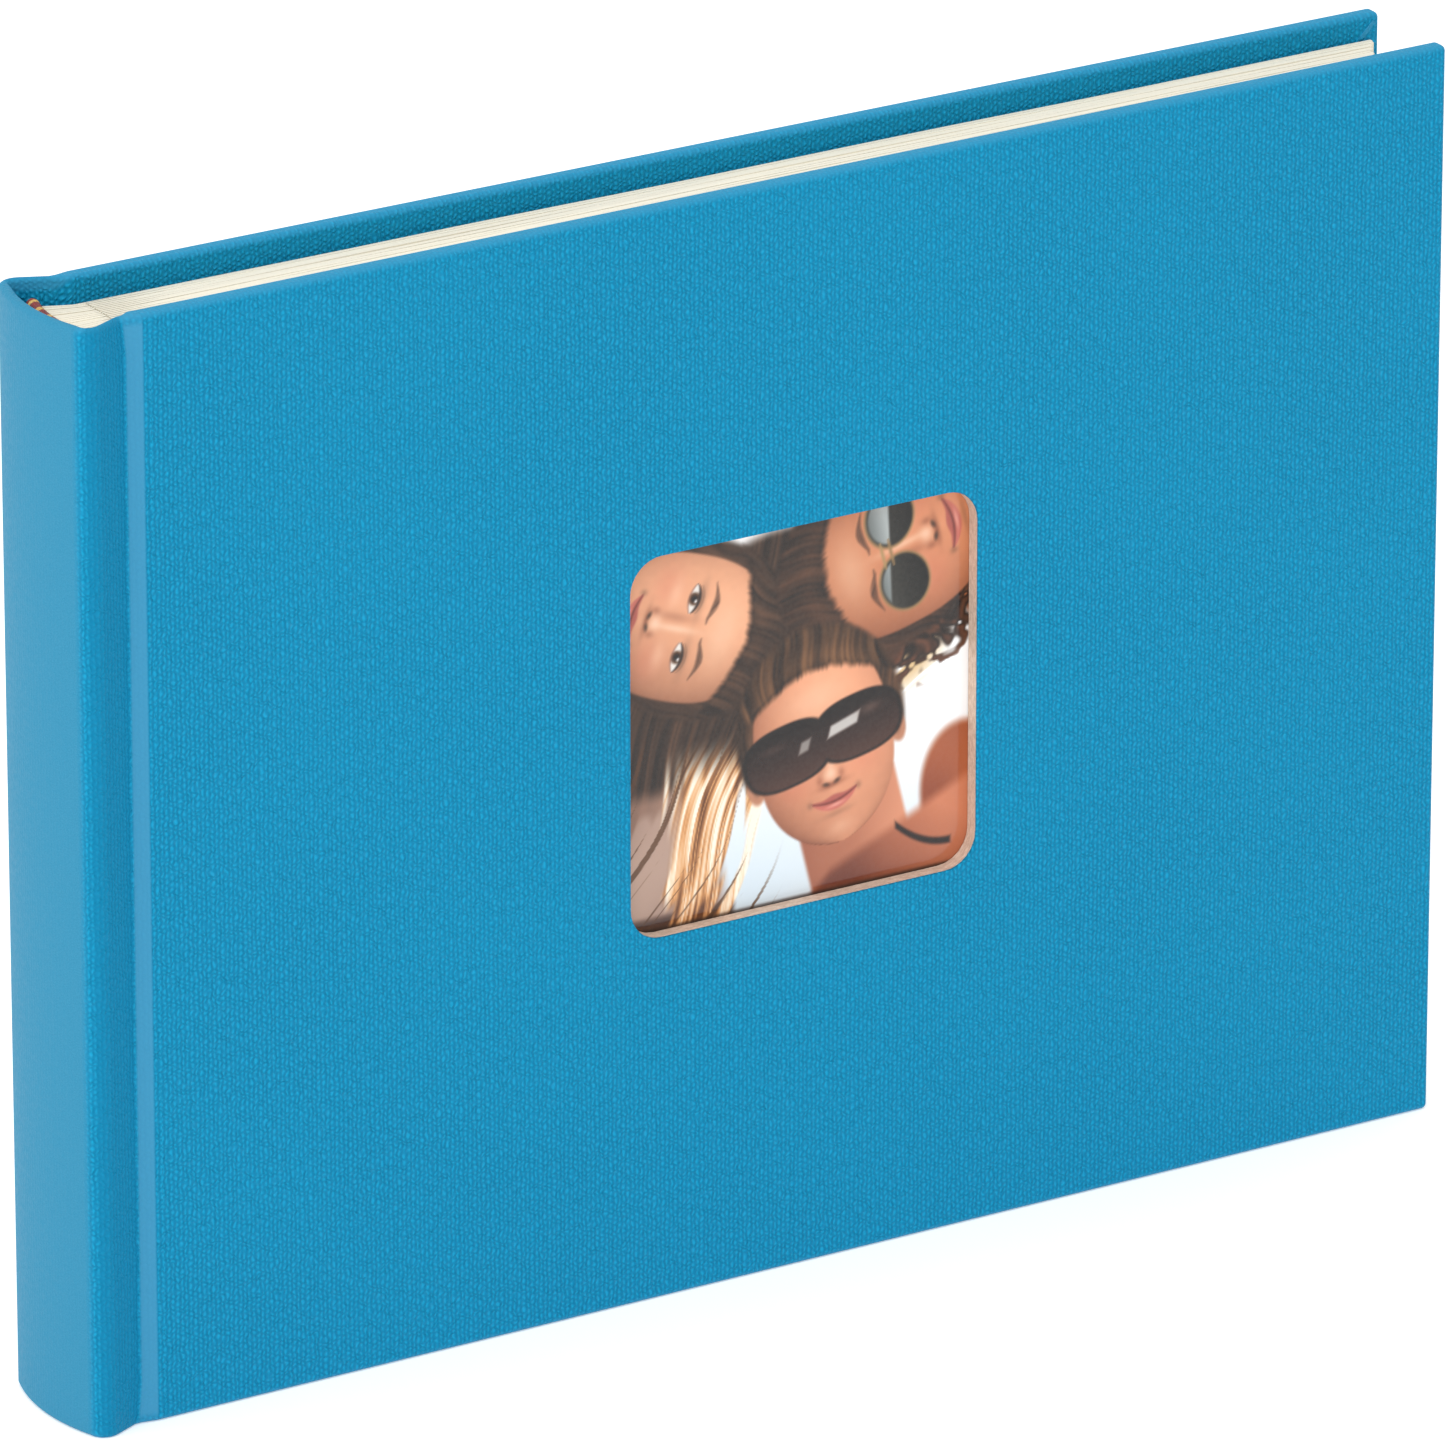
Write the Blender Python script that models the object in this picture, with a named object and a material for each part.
"""Case-bound photo album with a picture window in its front cover.

Metres. The album stands on its tail edges: +Z is up, +X runs from the spine to
the fore-edge, the front cover faces -Y. The origin lies under the middle of the
closed album, on the surface that it stands on.

In the helpers, "depth" is the distance from the outermost line of the spine
towards the fore-edge, and "half" is the distance from the middle plane of the
album towards the outside of a cover.
"""
import math

import bmesh
import bpy

MM = 0.001
FRONT = -1
BACK = 1

# Closed album
WIDTH = 220 * MM
HEIGHT = 160 * MM
FORE_EDGE_HALF = 9.8 * MM
HINGE_PLANE_HALF = 10.4 * MM
GLUE_LINE = 0.1 * MM

# Rounded spine: one flat arc, then a tight arc at each shoulder
SPINE_RADIUS = 30.0 * MM
SPINE_ARC_HALF = 10.05 * MM
SHOULDER_RADIUS = 2.6 * MM
SHOULDER_SLOPE = math.radians(25)
SPINE_SEGMENTS = 20
SHOULDER_SEGMENTS = 8

# Covering paper, wrapped round the boards and the spine card
PAPER = 0.3 * MM
SPINE_PAPER = 0.4 * MM
TURN_IN = 15.0 * MM
EDGE_RADIUS = 0.8 * MM
EDGE_SEGMENTS = 4

# Joint between the spine and each cover
GROOVE_DEPTH_FROM_SPINE = 9.9 * MM
GROOVE_DIP = 0.4 * MM
JOINT_THICKNESS = 0.6 * MM
FOLD_GAP = 0.15 * MM
JOINT_SEGMENTS = 10

# Cover boards
BOARD = 2.0 * MM
BOARD_START = 1.9 * MM
PASTEDOWN = 0.2 * MM
PASTEDOWN_START = 0.8 * MM
PASTEDOWN_MARGIN = 4.0 * MM

# Picture window in the front cover
WINDOW_SIDE = 56.0 * MM
WINDOW_RADIUS = 5.0 * MM
WINDOW_FROM_SPINE = 87.4 * MM
WINDOW_FROM_TAIL = 53.8 * MM
WINDOW_SEGMENTS = 6
PRINT_SIDE = 62.0 * MM
PRINT_THICKNESS = 0.25 * MM

# Text block: a flyleaf, twenty leaves and a flyleaf
LEAVES = 20
SHEETS = LEAVES + 2
SHEET = 0.3 * MM
SHEET_PITCH = 0.595 * MM
SQUARE = 3.7 * MM
FORE_EDGE_INSET = 1.0 * MM
FORE_EDGE_HOLLOW = 3.0 * MM

# Fan of the leaves with the front cover wide open
FAN_FIRST = math.radians(97)
FAN_LAST = math.radians(5)
CREASE_DEPTH = 13.0 * MM
CREASE_CLEARANCE = 0.43 * MM

# Bound edge of the text block
BLOCK_RADIUS = 24.0 * MM
LINING_DEPTH = 2.6 * MM
LINING = 0.2 * MM
MULL_DEPTH = 2.9 * MM
MULL = 0.25 * MM
SPINE_GLUE_DEPTH = 3.25 * MM
SPINE_GLUE = 0.3 * MM
BINDING_DEPTH = 3.65 * MM
BINDING_BACK = 0.7 * MM
BOUND_PITCH = 0.8 * MM
BOUND_MARGIN = 0.5 * MM
CREASE_GAP = 0.3 * MM
LINING_HALF = 9.0 * MM
LINING_SEGMENTS = 16

# Spine card and headbands
CARD = 0.8 * MM
CARD_HALF = 9.3 * MM
BAND_RADIUS = 0.95 * MM
BAND_GAP = 0.35 * MM
BAND_DEPTH = 4.9 * MM
BAND_HALF = 8.5 * MM
BAND_POINTS = 13


def clear_scene():
    for obj in list(bpy.data.objects):
        bpy.data.objects.remove(obj, do_unlink=True)


def make_material(name, colour, roughness):
    material = bpy.data.materials.new(name)
    material.use_nodes = True
    shader = material.node_tree.nodes["Principled BSDF"]
    shader.inputs["Base Color"].default_value = (*colour, 1.0)
    shader.inputs["Roughness"].default_value = roughness
    shader.inputs["Metallic"].default_value = 0.0
    material.diffuse_color = (*colour, 1.0)
    return material


def make_empty(name, location, turn=0.0, parent=None):
    empty = bpy.data.objects.new(name, None)
    empty.location = location
    empty.rotation_euler = (0.0, 0.0, turn)
    empty.parent = parent
    bpy.context.scene.collection.objects.link(empty)
    return empty


def make_object(name, mesh_builder, material, parent):
    """Close the built mesh outwards and hang it on its parent empty."""
    bmesh.ops.recalc_face_normals(mesh_builder, faces=mesh_builder.faces)
    mesh = bpy.data.meshes.new(name)
    mesh_builder.to_mesh(mesh)
    mesh_builder.free()
    obj = bpy.data.objects.new(name, mesh)
    if material is not None:
        mesh.materials.append(material)
    obj.parent = parent
    bpy.context.scene.collection.objects.link(obj)
    return obj


def prism(name, outline, low, high, material, parent, along="Z"):
    """Extrude an outline: of (x, y) points along Z, or of (x, z) points along Y."""
    shape = bmesh.new()
    if along == "Z":
        ring = [shape.verts.new((x, y, low)) for x, y in outline]
        shift = (0.0, 0.0, high - low)
    else:
        ring = [shape.verts.new((x, low, z)) for x, z in outline]
        shift = (0.0, high - low, 0.0)
    face = shape.faces.new(ring)
    grown = bmesh.ops.extrude_face_region(shape, geom=[face])
    moved = [item for item in grown["geom"] if isinstance(item, bmesh.types.BMVert)]
    bmesh.ops.translate(shape, verts=moved, vec=shift)
    return make_object(name, shape, material, parent)


def slab(name, x_range, y_range, z_range, material, parent):
    corners = [(x_range[0], y_range[0]), (x_range[1], y_range[0]),
               (x_range[1], y_range[1]), (x_range[0], y_range[1])]
    return prism(name, corners, z_range[0], z_range[1], material, parent)


def sweep(name, path, profile, material, parent):
    """Carry a closed profile of (inward offset, z) points along a path in plan.

    The path is a list of (point, inward normal) pairs.
    """
    shape = bmesh.new()
    stations = []
    for point, normal in path:
        station = []
        for offset, z in profile:
            x = point[0] + normal[0] * offset
            y = point[1] + normal[1] * offset
            station.append(shape.verts.new((x, y, z)))
        stations.append(station)
    count = len(profile)
    for first, second in zip(stations, stations[1:]):
        for index in range(count):
            after = (index + 1) % count
            shape.faces.new((first[index], first[after], second[after], second[index]))
    shape.faces.new(stations[0])
    shape.faces.new(list(reversed(stations[-1])))
    return make_object(name, shape, material, parent)


def plain_profile(start, thickness, low, high):
    return [(start, low), (start, high), (start + thickness, high), (start + thickness, low)]


def cut(obj, cutter):
    cutter.hide_render = True
    cutter.display_type = "WIRE"
    modifier = obj.modifiers.new(cutter.name, "BOOLEAN")
    modifier.operation = "DIFFERENCE"
    modifier.object = cutter


def corner_arc(centre, radius, start, end, segments):
    """Points on a circle, from one angle to another."""
    points = []
    for step in range(segments + 1):
        angle = start + (end - start) * step / segments
        points.append((centre[0] + radius * math.cos(angle), centre[1] + radius * math.sin(angle)))
    return points


def rounded_square(low, side, radius, segments):
    """Outline of a square with its lowest corner at low and all corners rounded."""
    outline = []
    inner = side - radius
    centres = [(inner, radius), (inner, inner), (radius, inner), (radius, radius)]
    for quarter, centre in enumerate(centres):
        middle = (low[0] + centre[0], low[1] + centre[1])
        start = math.pi / 2 * (quarter - 1)
        outline += corner_arc(middle, radius, start, start + math.pi / 2, segments)
    return outline


def bezier(points, segments):
    """A cubic curve as (point, left normal) pairs."""
    path = []
    for step in range(segments + 1):
        t = step / segments
        u = 1 - t
        weights = (u ** 3, 3 * u * u * t, 3 * u * t * t, t ** 3)
        slopes = (-3 * u * u, 3 * u * u - 6 * u * t, 6 * u * t - 3 * t * t, 3 * t * t)
        point = [sum(w * p[axis] for w, p in zip(weights, points)) for axis in (0, 1)]
        slope = [sum(w * p[axis] for w, p in zip(slopes, points)) for axis in (0, 1)]
        length = math.hypot(*slope)
        path.append((point, (-slope[1] / length, slope[0] / length)))
    return path


# Worked-out places

ARC_TURN = math.asin(SPINE_ARC_HALF / SPINE_RADIUS)
SHOULDER_CENTRE = (SPINE_RADIUS * (1 - math.cos(ARC_TURN)) + SHOULDER_RADIUS * math.cos(ARC_TURN),
                   SPINE_ARC_HALF - SHOULDER_RADIUS * math.sin(ARC_TURN))
FOLD = (SHOULDER_CENTRE[0] + SHOULDER_RADIUS * math.sin(SHOULDER_SLOPE),
        SHOULDER_CENTRE[1] + SHOULDER_RADIUS * math.cos(SHOULDER_SLOPE))
HINGE = (GROOVE_DEPTH_FROM_SPINE, HINGE_PLANE_HALF - GROOVE_DIP)
COVER_TURN = math.atan((HINGE_PLANE_HALF - FORE_EDGE_HALF) / (WIDTH - HINGE[0]))
COVER_LENGTH = (WIDTH - HINGE[0]) / math.cos(COVER_TURN)
COVER_INSIDE = GROOVE_DIP - (PAPER + GLUE_LINE + BOARD + GLUE_LINE + PAPER)


def spine_outline():
    """The outside of the spine as (point, inward normal) pairs, front to back."""
    upper = []
    for step in range(SPINE_SEGMENTS // 2 + 1):
        turn = ARC_TURN * step / (SPINE_SEGMENTS // 2)
        point = (SPINE_RADIUS * (1 - math.cos(turn)), SPINE_RADIUS * math.sin(turn))
        upper.append((point, (math.cos(turn), -math.sin(turn))))
    sweep_angle = math.pi / 2 - ARC_TURN + SHOULDER_SLOPE
    for step in range(1, SHOULDER_SEGMENTS + 1):
        turn = ARC_TURN + sweep_angle * step / SHOULDER_SEGMENTS
        outward = (-math.cos(turn), math.sin(turn))
        point = (SHOULDER_CENTRE[0] + SHOULDER_RADIUS * outward[0],
                 SHOULDER_CENTRE[1] + SHOULDER_RADIUS * outward[1])
        upper.append((point, (-outward[0], -outward[1])))
    lower = [((x, -y), (nx, -ny)) for (x, y), (nx, ny) in reversed(upper[1:])]
    return lower + upper


def spine_arc(radius, depth, half, segments):
    """A flat arc across the spine at a depth, as (point, inward normal) pairs."""
    limit = math.asin(half / radius)
    path = []
    for step in range(segments + 1):
        turn = limit * (2 * step / segments - 1)
        point = (depth + radius * (1 - math.cos(turn)), radius * math.sin(turn))
        path.append((point, (math.cos(turn), -math.sin(turn))))
    return path


def fan_angle(sheet):
    """How far a sheet has turned when the front cover is wide open."""
    return FAN_FIRST + (FAN_LAST - FAN_FIRST) * sheet / (SHEETS - 1)


def sheet_half(sheet):
    """Signed place of a sheet in the block: the front flyleaf is the lowest y."""
    return (sheet - (SHEETS - 1) / 2) * SHEET_PITCH


def crease_depths():
    """Depth of each sheet's crease.

    The creases step towards the spine at the front, by as much as keeps each
    turned sheet clear of the root of the sheet before it.
    """
    depths = [CREASE_DEPTH]
    for sheet in range(SHEETS - 1, 0, -1):
        angle = fan_angle(sheet)
        need = (CREASE_CLEARANCE - SHEET_PITCH * math.cos(angle)) / math.sin(angle)
        depths.append(depths[-1] - max(0.0, need))
    depths.reverse()
    return depths


def sheet_end(sheet):
    """Depth of a sheet's outer edge: the fore-edge of the block is hollow."""
    middle = (SHEETS - 1) / 2
    bulge = 1 - ((sheet - middle) / middle) ** 2
    return WIDTH - FORE_EDGE_INSET - FORE_EDGE_HOLLOW * bulge


# Spine and binding

def make_spine(binding, colours):
    profile = [(0, 0), (0, HEIGHT)]
    inner = SPINE_PAPER + GLUE_LINE + CARD + GLUE_LINE
    outer = inner + PAPER
    profile += [(outer, HEIGHT), (outer, HEIGHT - TURN_IN), (inner, HEIGHT - TURN_IN)]
    profile += [(inner, HEIGHT - SPINE_PAPER), (SPINE_PAPER, HEIGHT - SPINE_PAPER)]
    profile += [(SPINE_PAPER, SPINE_PAPER), (inner, SPINE_PAPER)]
    profile += [(inner, TURN_IN), (outer, TURN_IN), (outer, 0)]
    sweep("spine_covering", spine_outline(), profile, colours["covering"], binding)

    edge = SPINE_PAPER + GLUE_LINE
    card = plain_profile(edge, CARD, edge, HEIGHT - edge)
    path = spine_arc(SPINE_RADIUS, 0.0, CARD_HALF, SPINE_SEGMENTS)
    sweep("spine_card", path, card, colours["card"], binding)

    layers = [("spine_lining", LINING_DEPTH, LINING, "lining"),
              ("spine_mull", MULL_DEPTH, MULL, "mull"),
              ("spine_glue", SPINE_GLUE_DEPTH, SPINE_GLUE, "glue")]
    for name, depth, thickness, colour in layers:
        path = spine_arc(BLOCK_RADIUS, depth, LINING_HALF, LINING_SEGMENTS)
        profile = plain_profile(0.0, thickness, SQUARE, HEIGHT - SQUARE)
        sweep(name, path, profile, colours[colour], binding)


def make_bound_margins(binding, colours):
    """The bound margins of all sheets with their guards, as one glued comb."""
    edge_half = (SHEETS - 1) / 2 * BOUND_PITCH + BOUND_MARGIN / 2
    outline = []
    for point, _ in spine_arc(BLOCK_RADIUS, BINDING_DEPTH, edge_half, LINING_SEGMENTS):
        outline.append(point)
    creases = crease_depths()
    for sheet in reversed(range(SHEETS)):
        bound = (sheet - (SHEETS - 1) / 2) * BOUND_PITCH
        rise = BLOCK_RADIUS - math.sqrt(BLOCK_RADIUS ** 2 - bound ** 2)
        start = BINDING_DEPTH + rise + BINDING_BACK
        end = creases[sheet] - CREASE_GAP
        middle = sheet_half(sheet)
        outline.append((start, bound + BOUND_MARGIN / 2))
        outline.append((end, middle + SHEET / 2))
        outline.append((end, middle - SHEET / 2))
        outline.append((start, bound - BOUND_MARGIN / 2))
    prism("bound_margins", outline, SQUARE, HEIGHT - SQUARE, colours["page"], binding)


def make_band(name, height, binding, colours):
    """A stuffed headband: a cord across the bound edge, with filled ends."""
    curve = bpy.data.curves.new(name, "CURVE")
    curve.dimensions = "3D"
    curve.bevel_depth = BAND_RADIUS
    curve.bevel_resolution = 3
    curve.use_fill_caps = True
    spline = curve.splines.new("POLY")
    path = spine_arc(BLOCK_RADIUS, BAND_DEPTH, BAND_HALF, BAND_POINTS - 1)
    spline.points.add(BAND_POINTS - 1)
    for place, (point, _) in zip(spline.points, path):
        place.co = (point[0], point[1], height, 1.0)
    curve.materials.append(colours["band"])
    obj = bpy.data.objects.new(name, curve)
    obj.parent = binding
    bpy.context.scene.collection.objects.link(obj)


def make_bands(binding, colours):
    clear = BAND_GAP + BAND_RADIUS
    make_band("headband", HEIGHT - SQUARE + clear, binding, colours)
    make_band("tailband", SQUARE - clear, binding, colours)


# Joints and covers, built in the frame of the axis that they turn on

def make_joint(name, side, fold, colours):
    """The strip of covering and mull between the spine and a cover board."""
    reach = (HINGE[0] - FOLD[0], (HINGE[1] - FOLD[1]) * side)
    handle = reach[0] / 3
    drop = handle * math.tan(SHOULDER_SLOPE) * side
    start = (FOLD_GAP * math.cos(SHOULDER_SLOPE), -FOLD_GAP * math.sin(SHOULDER_SLOPE) * side)
    end = (reach[0] - FOLD_GAP, reach[1])
    curve = [start, (start[0] + handle, start[1] - drop), (end[0] - handle, end[1]), end]
    path = [(point, (-nx * side, -ny * side)) for point, (nx, ny) in bezier(curve, JOINT_SEGMENTS)]
    profile = plain_profile(0.0, JOINT_THICKNESS, 0.0, HEIGHT)
    sweep(name, path, profile, colours["covering"], fold)


def cover_outline(side):
    """Plan of a covered board, with the lip that runs down into the groove."""
    top = GROOVE_DIP
    outline = [(FOLD_GAP, -PAPER), (FOLD_GAP, 0.0), (3 * PAPER, 0.2 * PAPER), (5 * PAPER, PAPER)]
    outline.append((7 * PAPER, top))
    centre = (COVER_LENGTH - EDGE_RADIUS, top - EDGE_RADIUS)
    outline += corner_arc(centre, EDGE_RADIUS, math.pi / 2, 0.0, EDGE_SEGMENTS)
    centre = (COVER_LENGTH - EDGE_RADIUS, COVER_INSIDE + EDGE_RADIUS)
    outline += corner_arc(centre, EDGE_RADIUS, 0.0, -math.pi / 2, EDGE_SEGMENTS)
    outline += [(5 * PAPER, COVER_INSIDE), (5 * PAPER, -PAPER)]
    return [(x, y * side) for x, y in outline]


def between(side, low, high):
    """A y range on one side of the album, from distances towards its outside."""
    return (low * side, high * side)


def window_cutter(name, hinge):
    """The picture window, as an upright prism through the whole cover."""
    low = (WINDOW_FROM_SPINE - HINGE[0], WINDOW_FROM_TAIL)
    outline = rounded_square(low, WINDOW_SIDE, WINDOW_RADIUS, WINDOW_SEGMENTS)
    return prism(name, outline, -BOARD, 2 * BOARD, None, hinge, along="Y")


def make_covering(name, side, hinge, colours):
    """Covering paper: outer face, three edges and the turn-ins inside."""
    covering = prism(name, cover_outline(side), 0.0, HEIGHT, colours["covering"], hinge)
    skin = PAPER + GLUE_LINE
    top = GROOVE_DIP - PAPER
    floor = COVER_INSIDE + PAPER
    mouth = BOARD_START - 3 * PAPER
    step = BOARD_START - GLUE_LINE
    cavity = [(mouth, floor), (mouth, -skin), (step, -skin), (step, top)]
    cavity += [(COVER_LENGTH - PAPER, top), (COVER_LENGTH - PAPER, floor)]
    cavity = [(x, y * side) for x, y in cavity]
    cut(covering, prism(name + "_cavity", cavity, PAPER, HEIGHT - PAPER, None, hinge))
    inside = slab(name + "_inside", (mouth, COVER_LENGTH - TURN_IN),
                  between(side, COVER_INSIDE - BOARD, floor + PAPER / 2),
                  (TURN_IN, HEIGHT - TURN_IN), None, hinge)
    cut(covering, inside)
    return covering


def make_board(name, side, hinge, colours):
    edge = PAPER + GLUE_LINE
    low = GROOVE_DIP - PAPER - GLUE_LINE - BOARD
    return slab(name, (BOARD_START, COVER_LENGTH - edge), between(side, low, low + BOARD),
                (edge, HEIGHT - edge), colours["board"], hinge)


def make_pastedown(name, side, hinge, colours):
    high = COVER_INSIDE - GLUE_LINE
    slab(name, (PASTEDOWN_START, COVER_LENGTH - PASTEDOWN_MARGIN),
         between(side, high - PASTEDOWN, high),
         (PASTEDOWN_MARGIN, HEIGHT - PASTEDOWN_MARGIN), colours["page"], hinge)


def make_print(hinge, colours):
    """The cover picture, glued behind the window."""
    spare = (PRINT_SIDE - WINDOW_SIDE) / 2
    left = WINDOW_FROM_SPINE - HINGE[0] - spare
    bottom = WINDOW_FROM_TAIL - spare
    high = GROOVE_DIP - PAPER - GLUE_LINE - BOARD - GLUE_LINE
    slab("cover_print", (left, left + PRINT_SIDE), between(FRONT, high - PRINT_THICKNESS, high),
         (bottom, bottom + PRINT_SIDE), colours["print"], hinge)


def make_cover(word, side, binding, colours):
    """One cover with its joint: the fold at the shoulder, then the hinge."""
    fold = make_empty(word + "_fold_axis", (FOLD[0], FOLD[1] * side, 0.0), 0.0, binding)
    step = (HINGE[0] - FOLD[0], (HINGE[1] - FOLD[1]) * side, 0.0)
    hinge = make_empty(word + "_hinge_axis", step, -COVER_TURN * side, fold)
    make_joint(word + "_joint", side, fold, colours)
    covering = make_covering(word + "_covering", side, hinge, colours)
    board = make_board(word + "_board", side, hinge, colours)
    make_pastedown(word + "_pastedown", side, hinge, colours)
    if side == FRONT:
        cut(covering, window_cutter("covering_window", hinge))
        cut(board, window_cutter("board_window", hinge))
        make_print(hinge, colours)


# Text block

def make_sheets(binding, colours):
    creases = crease_depths()
    for sheet in range(SHEETS):
        name = "leaf_%02d" % sheet
        if sheet == 0:
            name = "front_flyleaf"
        if sheet == SHEETS - 1:
            name = "back_flyleaf"
        crease = make_empty(name + "_crease", (creases[sheet], sheet_half(sheet), 0.0), 0.0, binding)
        slab(name, (0.0, sheet_end(sheet) - creases[sheet]), (-SHEET / 2, SHEET / 2),
             (SQUARE, HEIGHT - SQUARE), colours["page"], crease)


def main():
    clear_scene()
    colours = {
        "covering": make_material("covering", (0.02, 0.28, 0.52), 0.6),
        "board": make_material("greyboard", (0.62, 0.50, 0.40), 0.9),
        "card": make_material("spine card", (0.50, 0.42, 0.34), 0.9),
        "page": make_material("page card", (0.88, 0.85, 0.74), 0.8),
        "lining": make_material("kraft lining", (0.45, 0.32, 0.20), 0.9),
        "mull": make_material("mull", (0.85, 0.83, 0.76), 0.9),
        "glue": make_material("binding glue", (0.80, 0.76, 0.62), 0.5),
        "band": make_material("headband", (0.45, 0.04, 0.03), 0.6),
        "print": make_material("cover print", (0.55, 0.36, 0.28), 0.2),
    }
    binding = make_empty("binding_frame", (-WIDTH / 2, 0.0, 0.0))
    make_spine(binding, colours)
    make_bound_margins(binding, colours)
    make_bands(binding, colours)
    make_cover("front", FRONT, binding, colours)
    make_cover("back", BACK, binding, colours)
    make_sheets(binding, colours)


main()
